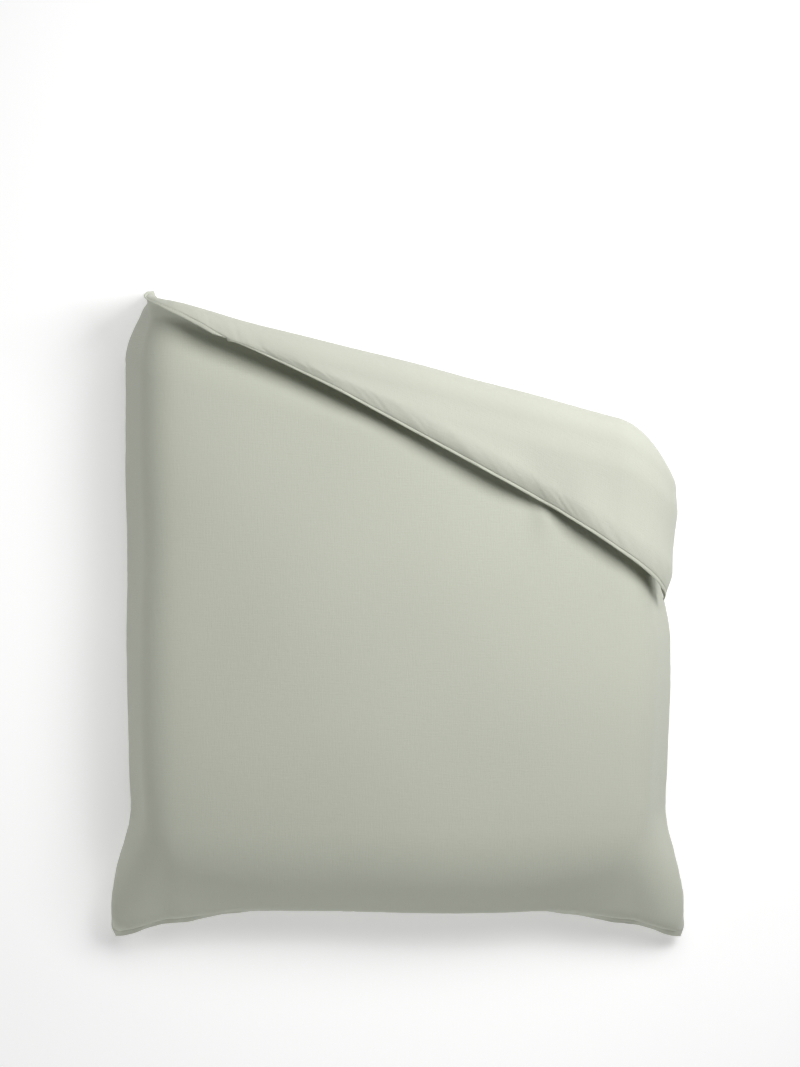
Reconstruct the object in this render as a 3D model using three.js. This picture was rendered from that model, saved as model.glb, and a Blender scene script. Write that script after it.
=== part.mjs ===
// A double duvet in its buttoned cover, as it lies over a mattress with its head edge turned back.
// The crease starts at the top left corner and runs down to the right, so the turned-back part is a
// long triangle that shows the cover's back and hangs its corner over the right side of the bed.
//
// Millimetres, +Z up, +Y towards the head of the bed, +X to the right of someone at the foot. The
// origin is on the plane of the mattress top, under the duvet's centre.
//
// A point of the duvet is named by its place in the flat cloth: u across from the centre line and v
// down from the head edge. foldBack() turns the cloth over its crease, drape() hangs it over the
// mattress, and every layer is an offset from that middle surface.
import * as THREE from "three";

const { clamp, degToRad, lerp, smoothstep } = THREE.MathUtils;

// The cloth
const halfWidth = 1000;
const length = 2000;
const seamWidth = 10; // the sewn edge at the head and the sides
const footHem = 28; // the doubled hem at the foot, which holds the buttons
const seamHalf = 1.5; // half the thickness of a sewn edge
const sheet = 0.8; // the thickness of a cloth panel
const loft = 45; // the filled duvet, where it lies flat
const edgeRound = 90; // how far in from a seam the filling reaches its full height

// The crown of the filling over the loft, in the middle of the bed
const sideCrown = 22;
const footCrown = 16;
const flapCrown = 9;
const mainCrownStart = 160; // before the crease, where the crown has its whole height
const flapCrownStart = 80; // past the roll, the same on the turned-back part
const crownStart = 1000; // distance down the cloth at which the crown begins to sink to the foot

// The turned-back head edge
const creaseAngle = degToRad(14.9);
const creaseStart = 38; // where the crease leaves the left edge, from the head edge
const rollRadius = 50; // of the middle surface as it turns over
const rollLength = Math.PI * rollRadius;
const slip = 145; // how far the turned-back part is pulled to the right, along the crease
const slipLength = 500;
const rollGap = 8; // the room between the two layers beside the roll
const settlingLength = 110; // from the roll to where the turned-back part lies on the rest
const softCreases = 28; // what the turned-back part's creases take up towards its hem
const creasedFromLeft = [-750, -100]; // across the cloth, where those creases come in
const creasedToRight = [500, 950]; // and where they die out
const cornerSwing = 60; // how far the fold's right end sinks towards the foot
const swingRange = [-140, 200]; // past the edge of the mattress, where it sets in
const swingBeforeCrease = 500; // how far before the crease the cloth begins to follow it

// The clear height of the turned-back part's hem over the duvet under it: low at its left end, high
// over the middle of the bed and low again before the right edge
const hemClearance = 4;
const hemRise = 36;
const hemRiseRange = [-660, -300];
const hemDip = 22;
const hemDipRange = [300, 420];
const hemDipEnd = [470, 580];

// Where the cloth starts to bend over the rounded edge of the mattress, and the angle from level at
// which it hangs past it
const mattressHalf = 658;
const sideRound = 80; // radius under the cloth along the free sides
const pressedRound = 30; // and under the weight of the fold
const sideFall = degToRad(74);
const pressedFall = degToRad(84);
const pressedRightRange = [780, 1080]; // distance down over which the fold's weight ends
const pressedLeftLength = 220;
const footStart = 1600; // distance down the cloth at which it starts to fall at the foot
const footRound = 235;
const footFall = degToRad(50.5);
const footFallAtCorner = degToRad(36);
const cornerLift = degToRad(20); // how much less steeply the cloth falls on a corner's diagonal
const cornerTurn = degToRad(10.8); // how far the corner's ear leans to the foot

// The duvet inside the cover
const insertInset = 28;
const insertFootInset = 46;
const bindingWidth = 6;
const bindingHalf = 0.6; // half the thickness of the insert's bound edge
const clearance = 0.8; // between layers of cloth
const fillClearance = 3.6;
const seamGap = 1; // between a panel and its sewn edge
const fillInset = 24; // from the insert's edge to its filling
const channels = 8;
const channelWidth = 245;
const quiltGap = 10; // the stitched gap between two channels

// The foot opening
const openingHalf = 560;
const buttonCount = 7;
const buttonPitch = 160;
const buttonRadius = 9;
const buttonThickness = 3.2;
const buttonholeLength = 20;
const buttonholeWidth = 3;
const bandThickness = 1.4;
const threadRadius = 1;
const touchGap = 0.3; // between pieces that touch

const smooth = (low, high, x) => smoothstep(x, low, high);

// --- The shape of the cloth -------------------------------------------------------------------

// How full the duvet is: from 0 at a seam to 1 where the filling has its whole height.
function roundUp(distance) {
  const short = 1 - clamp(distance / edgeRound, 0, 1);
  return 1 - short * short;
}

function fullness(u, v, inset, footInset) {
  const side = roundUp(halfWidth - inset - Math.abs(u));
  return side * roundUp(v - inset) * roundUp(length - footInset - v);
}

const filledHalf = (u, v) =>
  lerp(seamHalf, loft / 2, fullness(u, v, seamWidth, footHem));

const creaseDown = (u) => creaseStart + (u + halfWidth) * Math.tan(creaseAngle);

// How far a point lies past the crease, towards the head, in the flat cloth.
const pastCrease = (u, v) => (creaseDown(u) - v) * Math.cos(creaseAngle);

// How much the filling stands over its loft, at a place on the bed.
function crown(across, down) {
  const sideways = clamp(Math.abs(across) / mattressHalf, 0, 1);
  const footwards = clamp((down - crownStart) / (footStart - crownStart), 0, 1);
  return sideCrown * (1 - sideways ** 2) + footCrown * (1 - footwards ** 2);
}

// The clear height of the turned-back part over the duvet under it, from the roll to the hem.
function clearHeight(across, towardsHem) {
  const rise = hemRise * smooth(...hemRiseRange, across);
  const dip = hemDip * smooth(...hemDipRange, across) * (1 - smooth(...hemDipEnd, across));
  return lerp(rollGap, hemClearance + rise - dip, towardsHem);
}

// The place on the bed of a point of the cloth, {across, down}, and the height of the middle
// surface over the mattress.
function foldBack(u, v) {
  const past = pastCrease(u, v);
  const over = Math.max(0, past);
  const turned = Math.min(over, rollLength) / rollRadius;
  const settled = Math.max(0, over - rollLength);
  const sin = Math.sin(creaseAngle);
  const cos = Math.cos(creaseAngle);
  const hemShare = settled > 0 ? settled / (settled + v / cos) : 0;
  const creased = smooth(...creasedFromLeft, u) * (1 - smooth(...creasedToRight, u));
  const taken = softCreases * creased * hemShare;
  const reach = rollRadius * Math.sin(turned) - settled + taken;
  const slipped = slip * smooth(0, slipLength, over);
  const across = u - (over - reach) * sin + slipped * cos;
  const nearRoll = settled > 0 ? 1 - smooth(0, 1, hemShare) : smooth(-swingBeforeCrease, 0, past);
  const swing = cornerSwing * nearRoll * smooth(...swingRange, across - mattressHalf);
  const down = v + (over - reach) * cos + slipped * sin + swing;
  const height = loft / 2 + rollRadius * (1 - Math.cos(turned));
  if (settled === 0) return { across, down, height };
  const towardsHem = smooth(0, 1, hemShare);
  const under = loft + crown(across, down) + clearHeight(across, towardsHem);
  const lying = under + filledHalf(u, v);
  const share = smooth(0, settlingLength, settled);
  return { across, down, height: lerp(height, lying, share) };
}

// The reach and the drop of cloth that runs on for a path past an edge: an arc, then straight.
function fall(path, radius, angle) {
  const turned = Math.min(path / radius, angle);
  const straight = path - radius * turned;
  return {
    reach: radius * Math.sin(turned) + straight * Math.cos(turned),
    drop: radius * (1 - Math.cos(turned)) + straight * Math.sin(turned),
  };
}

// How far the fold presses the side of the bed at a distance down the cloth, from 0 to 1.
function pressed(across, down) {
  return across > 0
    ? 1 - smooth(...pressedRightRange, down)
    : 1 - smooth(0, pressedLeftLength, down);
}

// Hangs a place on the bed, at a height over the mattress, over the edge of the mattress.
function drape({ across, down, height }) {
  const pastSide = Math.max(0, Math.abs(across) - mattressHalf);
  const pastFoot = Math.max(0, down - footStart);
  const path = Math.hypot(pastSide, pastFoot);
  const y = (at) => length / 2 - at;
  if (path === 0) return new THREE.Vector3(across, y(down), height);
  const way = Math.atan2(pastFoot, pastSide);
  const press = pressed(across, down);
  const sideShare = Math.cos(way) ** 2;
  const nearCorner = smooth(openingHalf, mattressHalf, Math.abs(across));
  const radius =
    sideShare * lerp(sideRound, pressedRound, press) +
    (1 - sideShare) * footRound +
    height;
  const angle =
    sideShare * lerp(sideFall, pressedFall, press) +
    (1 - sideShare) * lerp(footFall, footFallAtCorner, nearCorner) -
    cornerLift * Math.sin(2 * way) ** 4;
  const { reach, drop } = fall(path, radius, angle);
  const turnedWay = way + cornerTurn * Math.sin(2 * way);
  const sideways = pastSide > 0 ? reach * Math.cos(turnedWay) : 0;
  const onTop = Math.min(Math.abs(across), mattressHalf);
  return new THREE.Vector3(
    Math.sign(across) * (onTop + sideways),
    y(Math.min(down, footStart)) -
      (pastFoot > 0 ? reach * Math.sin(turnedWay) : 0),
    height - drop,
  );
}

const middle = (u, v) => drape(foldBack(u, v));

// The unit normal of the middle surface, from the back of the duvet to its face.
function normal(u, v) {
  const step = 1;
  const alongU = middle(u + step, v).sub(middle(u - step, v));
  const alongV = middle(u, v + step).sub(middle(u, v - step));
  return alongV.cross(alongU).normalize();
}

const offset = (u, v, by) => middle(u, v).addScaledVector(normal(u, v), by);

// --- The thickness of the duvet ---------------------------------------------------------------

// Half the thickness of the filled cover on its face (side 1) or its back (side -1).
function coverHalf(u, v, side) {
  const past = pastCrease(u, v);
  const overMain = crown(u, v) * smooth(0, mainCrownStart, -past);
  const overFlap = flapCrown * smooth(rollLength, rollLength + flapCrownStart, past);
  const extra = side > 0 ? overMain : overFlap;
  return filledHalf(u, v) + extra * fullness(u, v, seamWidth, footHem);
}

// The same for the insert, which lies inside the cover.
function insertHalf(u, v, side) {
  const inside = coverHalf(u, v, side) - sheet - clearance;
  const full = fullness(u, v, insertInset, insertFootInset);
  return seamHalf + Math.max(0, inside - seamHalf) * full;
}

// --- The mesh of a layer ----------------------------------------------------------------------

// Every layer has its points on the same lines across and down the cloth, so that no facet of one
// cuts through the next. The outermost lines are the edges of the cover, of the insert and of the
// filling in it: the insert leaves out one line at each edge, and the filling two.
const insertEdge = halfWidth - insertInset;
const insertFoot = length - insertFootInset;
const fillHead = insertInset + fillInset;
const coverEdge = halfWidth - seamWidth;
const quilting = 3 * channelWidth; // the line of stitches past the edge of the mattress
const towardsEdge = [channelWidth, 2 * channelWidth, mattressHalf - 5, mattressHalf + 25];
towardsEdge.push(quilting - quiltGap / 2, quilting + quiltGap / 2, 780);
const nearEdge = [coverEdge - edgeRound, insertEdge - fillInset, insertEdge, coverEdge];
const underFlap = [820, 860]; // the turned-back part bends over the bed's edge on these
const mirrored = (columns) => columns.map((u) => -u).reverse();
const atNarrowFlap = [580]; // there the head edge leaves the roll
const toLeft = [...towardsEdge, ...nearEdge, ...atNarrowFlap].sort((a, b) => a - b);
const toRight = [...towardsEdge, ...underFlap, ...nearEdge];
const lines = [...mirrored(toLeft), 0, ...toRight];

// The places down the cloth of the points at u. They crowd where the cloth rolls over its crease,
// and they close up to the left, where the turned-back part narrows.
const rollSteps = 4;
const wideFlap = 320;
const narrowFlap = 110;
const firstFlapRow = 100;
const afterCrease = 50;
const footSteps = [67, 133, 200]; // rows on the bend at the foot
function rowsAt(u) {
  const crease = Math.max(creaseDown(u), narrowFlap);
  const wide = Math.max(crease, wideFlap);
  const rollDown = rollLength / Math.cos(creaseAngle);
  const rollStart = wide - rollDown;
  const flap = [firstFlapRow, (firstFlapRow + rollStart) / 2];
  for (let i = 0; i <= rollSteps; i++)
    flap.push(rollStart + (rollDown * i) / rollSteps);
  const squeeze = (crease - fillHead) / (wide - fillHead);
  const after = crease + afterCrease;
  return [
    seamWidth,
    insertInset,
    fillHead,
    ...flap.map((v) => fillHead + (v - fillHead) * squeeze),
    after,
    lerp(after, footStart, 1 / 3),
    lerp(after, footStart, 2 / 3),
    footStart,
    ...footSteps.map((step) => footStart + step),
    length - footHem - edgeRound,
    insertFoot - fillInset,
    insertFoot,
    length - footHem,
  ];
}

// A closed solid between two grids of points, over[i][j] on the face side and under[i][j] on the
// back, where i counts across the bed and j from the head to the foot.
function slab(over, under) {
  const columns = over.length;
  const rows = over[0].length;
  const positions = [];
  for (const grid of [over, under])
    for (const column of grid) for (const p of column) positions.push(p.x, p.y, p.z);
  const index = [];
  const at = (i, j, below) => (below ? columns * rows : 0) + i * rows + j;
  const quad = (a, b, c, d) => index.push(a, b, c, a, c, d);
  for (let i = 0; i + 1 < columns; i++)
    for (let j = 0; j + 1 < rows; j++) {
      // Both sides are cut along the same diagonal, so that thin layers stay apart.
      quad(at(i + 1, j), at(i, j), at(i, j + 1), at(i + 1, j + 1));
      const [a, b] = [at(i + 1, j, true), at(i, j, true)];
      const [c, d] = [at(i, j + 1, true), at(i + 1, j + 1, true)];
      index.push(a, c, b, a, d, c);
    }
  for (let j = 0; j + 1 < rows; j++) {
    const last = columns - 1;
    quad(at(0, j), at(0, j, true), at(0, j + 1, true), at(0, j + 1));
    quad(at(last, j), at(last, j + 1), at(last, j + 1, true), at(last, j, true));
  }
  for (let i = 0; i + 1 < columns; i++) {
    const last = rows - 1;
    quad(at(i, 0), at(i + 1, 0), at(i + 1, 0, true), at(i, 0, true));
    quad(at(i, last), at(i, last, true), at(i + 1, last, true), at(i + 1, last));
  }
  return new THREE.BufferGeometry()
    .setAttribute("position", new THREE.Float32BufferAttribute(positions, 3))
    .setIndex(index);
}

// A layer of the duvet between two heights over the middle surface, each a number or a function of
// the place in the cloth. columns is a list of u, and rows(u) the list of v at each.
function layer(columns, rows, top, bottom) {
  const height = (by, u, v) => (typeof by === "function" ? by(u, v) : by);
  const grid = (by) =>
    columns.map((u) => rows(u).map((v) => offset(u, v, height(by, u, v))));
  return slab(grid(top), grid(bottom));
}

// --- Materials --------------------------------------------------------------------------------

const cloth = (color, roughness = 0.9) =>
  new THREE.MeshStandardMaterial({ color, roughness, metalness: 0 });
const sageCotton = cloth(0xc4c7b2);
const whiteTicking = cloth(0xf1f0ec);
const hollowfibre = cloth(0xfafaf8, 1);
const labelSatin = cloth(0xf4f3ef, 0.6);
const buttonResin = cloth(0xd9dccb, 0.35);
const sewingThread = cloth(0xb9bda6, 0.8);

const duvet = new THREE.Group();
function add(name, geometry, material, parent = duvet) {
  const mesh = new THREE.Mesh(geometry, material);
  mesh.name = name;
  parent.add(mesh);
  return mesh;
}

// --- The cover's two panels -------------------------------------------------------------------

const face = (u, v) => coverHalf(u, v, 1);
const back = (u, v) => -coverHalf(u, v, -1);
const insideFace = (u, v) => face(u, v) - sheet;
const insideBack = (u, v) => back(u, v) + sheet;
add("cover_face_panel", layer(lines, rowsAt, face, insideFace), sageCotton);
add("cover_back_panel", layer(lines, rowsAt, insideBack, back), sageCotton);

// --- The cover's sewn edges -------------------------------------------------------------------

const sewnEdge = (columns, rows) => layer(columns, rows, seamHalf, -seamHalf);
const edgeLines = [-halfWidth, ...lines, halfWidth];
const headEdge = sewnEdge(edgeLines, () => [0, seamWidth - seamGap]);
add("cover_head_seam", headEdge, sageCotton);
const sideEdge = [halfWidth - seamWidth + seamGap, halfWidth];
const footEdge = [length - footHem + seamGap, length];
const footEdgeLines = [openingHalf, ...edgeLines.filter((u) => u > openingHalf)];
add("cover_left_seam", sewnEdge(mirrored(sideEdge), rowsAt), sageCotton);
add("cover_right_seam", sewnEdge(sideEdge, rowsAt), sageCotton);
add("cover_foot_seam_left", sewnEdge(mirrored(footEdgeLines), () => footEdge), sageCotton);
add("cover_foot_seam_right", sewnEdge(footEdgeLines, () => footEdge), sageCotton);

// --- The foot opening: two hemmed bands, buttons and their threads -----------------------------

// The foot falls straight here, so a band is flat: its frame has x along the hem, y down the cloth
// and z from the face to the back.
const opening = new THREE.Group();
const hemMiddle = length - footHem / 2;
opening.position.copy(middle(0, hemMiddle));
const downCloth = middle(0, length).sub(middle(0, length - footHem)).normalize();
const toBack = normal(0, hemMiddle).negate();
opening.quaternion.setFromRotationMatrix(
  new THREE.Matrix4().makeBasis(new THREE.Vector3(1, 0, 0), downCloth, toBack),
);
duvet.add(opening);

const buttonPlaces = Array.from(
  { length: buttonCount },
  (_, i) => (i - (buttonCount - 1) / 2) * buttonPitch,
);

function band(cuts) {
  const half = openingHalf - touchGap;
  const outline = new THREE.Shape();
  const edge = footHem / 2;
  outline.moveTo(-half, -edge + touchGap);
  outline.lineTo(half, -edge + touchGap);
  outline.lineTo(half, edge);
  outline.lineTo(-half, edge);
  outline.closePath();
  for (const x of cuts) {
    const run = (buttonholeLength - buttonholeWidth) / 2;
    const slot = new THREE.Path();
    slot.absarc(x + run, 0, buttonholeWidth / 2, -Math.PI / 2, Math.PI / 2);
    slot.absarc(x - run, 0, buttonholeWidth / 2, Math.PI / 2, -Math.PI / 2);
    slot.closePath();
    outline.holes.push(slot);
  }
  return new THREE.ExtrudeGeometry(outline, {
    depth: bandThickness,
    bevelEnabled: false,
    curveSegments: 4,
  });
}

const bandSpace = touchGap / 2;
const stand = band([]).translate(0, 0, -bandSpace - bandThickness);
add("button_stand", stand, sageCotton, opening);
const buttonholes = band(buttonPlaces).translate(0, 0, bandSpace);
add("buttonhole_band", buttonholes, sageCotton, opening);

// A four-hole button.
const holeSpacing = 1.8; // from the button's middle, across and along
const holeRadius = 1;
function button() {
  const disc = new THREE.Shape();
  disc.absarc(0, 0, buttonRadius, 0, 2 * Math.PI);
  for (const [x, y] of [[1, 1], [-1, 1], [-1, -1], [1, -1]]) {
    const hole = new THREE.Path();
    const [hx, hy] = [x * holeSpacing, y * holeSpacing];
    for (const [cx, cy] of [[1, 0], [0, 1], [-1, 0], [0, -1]]) {
      if (hole.curves.length || cx !== 1) hole.lineTo(hx + cx * holeRadius, hy + cy * holeRadius);
      else hole.moveTo(hx + cx * holeRadius, hy + cy * holeRadius);
    }
    hole.closePath();
    disc.holes.push(hole);
  }
  return new THREE.ExtrudeGeometry(disc, {
    depth: buttonThickness,
    bevelEnabled: false,
    curveSegments: 7,
  });
}

const shank = 1.2; // the room between the band and the button, for the cloth to sit in
const buttonBack = bandSpace + bandThickness + shank;
const threadLength = buttonBack - touchGap;
buttonPlaces.forEach((x, i) => {
  const disc = button().translate(x, 0, buttonBack);
  add(`button_${i + 1}`, disc, buttonResin, opening);
  const thread = new THREE.CylinderGeometry(threadRadius, threadRadius, threadLength, 6);
  thread.rotateX(Math.PI / 2).translate(x, 0, threadLength / 2);
  add(`button_thread_${i + 1}`, thread, sewingThread, opening);
});

// --- The care label, on the back by the left seam ------------------------------------------------

// Points part of the way down the cloth between two rows lie straight between them, so that the
// label lies on the facets of the panel.
const labelGap = 3;
const labelThickness = 0.5;
const labelShares = [0.3, 0.85]; // of the way between the two rows
const labelColumns = lines.slice(0, 3);
const labelRow = rowsAt(-halfWidth).length - 5;
function labelGrid(by) {
  return labelColumns.map((u) => {
    const [top, bottom] = rowsAt(u)
      .slice(labelRow, labelRow + 2)
      .map((v) => offset(u, v, back(u, v) - by));
    return labelShares.map((share) => top.clone().lerp(bottom, share));
  });
}
const label = slab(labelGrid(labelGap), labelGrid(labelGap + labelThickness));
add("care_label", label, labelSatin);

// --- The insert: a quilted shell, bound at its edges ---------------------------------------------

const insertLines = lines.slice(1, -1);
const insertRows = (u) => rowsAt(u).slice(1, -1);
const shellTop = (u, v) => insertHalf(u, v, 1);
const shellBottom = (u, v) => -insertHalf(u, v, -1);
const insideTop = (u, v) => shellTop(u, v) - sheet;
const insideBottom = (u, v) => shellBottom(u, v) + sheet;
add("insert_top_shell", layer(insertLines, insertRows, shellTop, insideTop), whiteTicking);
const bottomShell = layer(insertLines, insertRows, insideBottom, shellBottom);
add("insert_bottom_shell", bottomShell, whiteTicking);

const boundEdge = insertEdge + bindingWidth;
const headBound = [insertInset - bindingWidth, insertInset - seamGap];
const footBound = [insertFoot + seamGap, insertFoot + bindingWidth];
const sideBound = [insertEdge + seamGap, boundEdge];
function bind(side, columns, rows) {
  const strip = layer(columns, rows, bindingHalf, -bindingHalf);
  add(`insert_${side}_binding`, strip, whiteTicking);
}
bind("head", insertLines, () => headBound);
bind("foot", insertLines, () => footBound);
bind("left", mirrored(sideBound), insertRows);
bind("right", sideBound, insertRows);

// --- The filling, in channels that run from head to foot ------------------------------------------

const fillLines = lines.slice(2, -2);
const fillRows = (u) => rowsAt(u).slice(2, -2);
const fillTop = (u, v) => insideTop(u, v) - fillClearance;
const fillBottom = (u, v) => insideBottom(u, v) + fillClearance;

// A column of points beside a line of the shared grid lies straight between two lines of it.
function fillColumn(u, by) {
  const next = Math.max(1, fillLines.findIndex((line) => line >= u));
  const [a, b] = [fillLines[next - 1], fillLines[next]];
  const [first, second] = [a, b].map((line) =>
    fillRows(line).map((v) => offset(line, v, by(line, v))),
  );
  return first.map((p, j) => p.lerp(second[j], (u - a) / (b - a)));
}

for (let channel = 1; channel <= channels; channel++) {
  const middleLine = channelWidth * (channel - (channels + 1) / 2);
  const low = Math.max(middleLine - channelWidth / 2 + quiltGap / 2, fillLines[0]);
  const high = Math.min(middleLine + channelWidth / 2 - quiltGap / 2, fillLines.at(-1));
  const inner = fillLines.filter((u) => u > low && u < high);
  const columns = [low, ...inner, high];
  const top = columns.map((u) => fillColumn(u, fillTop));
  const bottom = columns.map((u) => fillColumn(u, fillBottom));
  add(`filling_channel_${channel}`, slab(top, bottom), hollowfibre);
}

export default duvet;
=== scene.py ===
import math

import bmesh
import bpy
import numpy as np
from mathutils import Matrix, Vector


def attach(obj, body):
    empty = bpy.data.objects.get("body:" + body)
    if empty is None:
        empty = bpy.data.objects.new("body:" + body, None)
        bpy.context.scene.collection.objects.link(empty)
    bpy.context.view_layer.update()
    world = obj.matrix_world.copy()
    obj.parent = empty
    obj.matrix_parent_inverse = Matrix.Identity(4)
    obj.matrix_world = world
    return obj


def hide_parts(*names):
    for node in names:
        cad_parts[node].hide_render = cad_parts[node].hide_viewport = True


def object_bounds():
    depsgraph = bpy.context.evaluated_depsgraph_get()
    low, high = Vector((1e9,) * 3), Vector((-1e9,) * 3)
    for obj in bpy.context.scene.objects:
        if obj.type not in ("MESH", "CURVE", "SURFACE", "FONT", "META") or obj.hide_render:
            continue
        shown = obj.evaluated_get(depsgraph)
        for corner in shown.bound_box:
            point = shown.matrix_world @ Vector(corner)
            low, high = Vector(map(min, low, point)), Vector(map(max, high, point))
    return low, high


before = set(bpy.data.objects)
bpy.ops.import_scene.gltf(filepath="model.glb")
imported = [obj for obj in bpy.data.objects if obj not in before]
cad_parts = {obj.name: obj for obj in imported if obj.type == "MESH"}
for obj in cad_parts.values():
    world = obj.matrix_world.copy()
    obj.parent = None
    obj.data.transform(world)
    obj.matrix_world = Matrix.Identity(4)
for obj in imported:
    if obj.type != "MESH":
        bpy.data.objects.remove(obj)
cad_low, cad_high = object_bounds()

# The filling: loose hollow fibre in eight channels that run from head to foot, each closed by the
# lines of quilting beside it. Everything else follows the filling, so the way the duvet lies comes
# first: a point of the flat cloth is named by u, across from the middle, and v, down from the head
# edge, in metres. It is turned back over the crease and then hung over the edge of the mattress.
half_width = 1.0
length = 2.0
loft = 0.045
seam_width = 0.010
foot_hem = 0.028
seam_half = 0.0015
edge_round = 0.068
cloth = 0.0008

crease_angle = math.radians(14.9)
crease_start = 0.036
crease_sin = math.sin(crease_angle)
crease_cos = math.cos(crease_angle)
roll_radius = 0.050
roll_length = math.pi * roll_radius
slip = 0.137
slip_length = 0.57
roll_gap = 0.008
settling_length = 0.110
soft_creases = 0.031
creased_from_left = (-0.75, -0.1)
creased_to_right = (0.5, 0.95)
corner_swing = 0.065
swing_length = 0.2
swing_before_crease = 0.5
flap_full_range = (-0.7, -0.4)

# The clear height of the turned-back hem over the duvet under it: low at its left end, high over
# the middle of the bed and low again before the right edge.
hem_clearance = 0.004
hem_rise = 0.026
hem_rise_range = (-0.66, -0.30)
hem_dip = 0.022
hem_dip_range = (0.30, 0.42)
hem_dip_end = (0.47, 0.58)

# How much the filling stands over its loft in the middle of the bed, and on the turned-back part.
side_crown = 0.022
foot_crown = 0.016
flap_crown = 0.009
crown_start = 1.0

mattress_half = 0.645
side_round = 0.080
pressed_round = 0.038
side_fall = math.radians(70.5)
pressed_fall = math.radians(77.5)
pressed_right_range = (0.78, 1.08)
pressed_left_length = 0.22
foot_start = 1.60
foot_round = 0.235
foot_fall = math.radians(51)
corner_fall = math.radians(38)
corner_lift = math.radians(19.5)
corner_turn = math.radians(10.2)
opening_half = 0.56
corner_from = 0.40
corner_full = 0.72
edge_softness = 0.05
foot_softness = 0.10


def smooth(low, high, x):
    t = np.clip((x - low) / (high - low), 0, 1)
    return t * t * (3 - 2 * t)


def round_up(distance):
    return 1 - (1 - np.clip(distance / edge_round, 0, 1)) ** 2.4


def fullness(u, v, inset, foot_inset):
    side = round_up(half_width - inset - np.abs(u))
    return side * round_up(v - inset) * round_up(length - foot_inset - v)


def filled_half(u, v):
    full = fullness(u, v, seam_width, foot_hem)
    return seam_half + (loft / 2 - seam_half) * full


def past_crease(u, v):
    crease = crease_start + (u + half_width) * math.tan(crease_angle)
    return (crease - v) * crease_cos


def crown(across, down):
    side = side_crown * (1 - np.clip(np.abs(across) / mattress_half, 0, 1) ** 2)
    sinking = np.clip((down - crown_start) / (foot_start - crown_start), 0, 1)
    return side + foot_crown * (1 - sinking**2)


def clear_height(across, towards_hem):
    rise = smooth(*hem_rise_range, across)
    dip = smooth(*hem_dip_range, across) * (1 - smooth(*hem_dip_end, across))
    at_hem = hem_clearance + hem_rise * rise - hem_dip * dip
    return roll_gap + (at_hem - roll_gap) * towards_hem


def fold_back(u, v):
    past = past_crease(u, v)
    over = np.maximum(0, past)
    turned = np.clip(over, 0, roll_length) / roll_radius
    settled = np.maximum(0, over - roll_length)
    share = np.clip(settled / (settled + v / crease_cos + 1e-6), 0, 1)
    taken = soft_creases * smooth(*creased_from_left, u) * (1 - smooth(*creased_to_right, u)) * share
    reach = roll_radius * np.sin(turned) - settled + taken
    slipped = slip * smooth(0, slip_length, over)
    across = u - (over - reach) * crease_sin + slipped * crease_cos
    down = v + (over - reach) * crease_cos + slipped * crease_sin
    before_roll = smooth(-swing_before_crease, 0, past)
    near_roll = np.where(past > roll_length, 1 - smooth(0, 1, share), before_roll)
    down = down + corner_swing * near_roll * smooth(0, swing_length, across - mattress_half)
    rolled = loft / 2 + roll_radius * (1 - np.cos(turned))
    towards_hem = smooth(0, 1, share)
    under = loft + crown(across, down) + clear_height(across, towards_hem)
    lying = under + np.maximum(filled_half(u, v), loft / 2 * smooth(*flap_full_range, across))
    long_settling = settling_length + 0.5 * np.maximum(0, past + v / crease_cos - roll_length)
    height = rolled + (lying - rolled) * smooth(0, long_settling, settled)
    right = 1 - smooth(*pressed_right_range, down)
    left = 1 - smooth(0, pressed_left_length, down)
    beside = np.where(across > 0, right, left)
    pressed = np.where(u > 0, np.maximum(beside, smooth(0, roll_length, over)), beside)
    return across, down, height, pressed


def past_edge(over, softness):
    """How far the cloth is past an edge of the mattress, with the edge taken softly."""
    return (over + np.sqrt(over * over + softness * softness)) / 2


def drape(across, down, height, pressed):
    side_soft = edge_softness * (1 - 0.8 * pressed)
    past_side = past_edge(np.abs(across) - mattress_half, side_soft)
    past_foot = past_edge(down - foot_start, foot_softness)
    path = np.hypot(past_side, past_foot)
    way = np.arctan2(past_foot, past_side)
    side_share = np.cos(way) ** 2
    near_corner = smooth(corner_from, corner_full, np.abs(across))
    side_radius = side_round + (pressed_round - side_round) * pressed
    radius = side_share * side_radius + (1 - side_share) * foot_round + height
    side_angle = side_fall + (pressed_fall - side_fall) * pressed
    foot_angle = foot_fall + (corner_fall - foot_fall) * near_corner
    diagonal = np.sin(2 * way)
    angle = side_share * side_angle + (1 - side_share) * foot_angle
    angle = angle - corner_lift * diagonal**4
    bent = np.minimum(path / radius, angle)
    straight = path - radius * bent
    reach = radius * np.sin(bent) + straight * np.cos(bent)
    drop = radius * (1 - np.cos(bent)) + straight * np.sin(bent)
    turned_way = way + corner_turn * diagonal * smooth(0, 0.15, path)
    x = np.sign(across) * (np.abs(across) - past_side + reach * np.cos(turned_way))
    y = length / 2 - (down - past_foot) - reach * np.sin(turned_way)
    return np.stack([x, y, height - drop], axis=-1)


def middle(u, v):
    return drape(*fold_back(u, v))


def normal(u, v):
    step = 0.001
    along_u = middle(u + step, v) - middle(u - step, v)
    along_v = middle(u, v + step) - middle(u, v - step)
    n = np.cross(along_v, along_u)
    return n / np.linalg.norm(n, axis=-1, keepdims=True)


def edge_ripple(u, v):
    wave = 0
    for k, (pitch, turn) in enumerate([(0.37, 0.4), (0.23, 2.1), (0.141, 4.0), (0.083, 1.2)]):
        size = 0.0016 / (1 + 0.5 * k)
        wave = wave + size * np.sin((u + 1.7 * v) * 2 * math.pi / pitch + turn)
    edge = np.minimum(np.minimum(half_width - np.abs(u), v), length - v)
    return wave * np.exp(-np.maximum(edge, 0) / 0.035)


edge_curl = 0.012
curl_length = 0.055
strip_turn = 0.005
strip_length = 0.014


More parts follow.
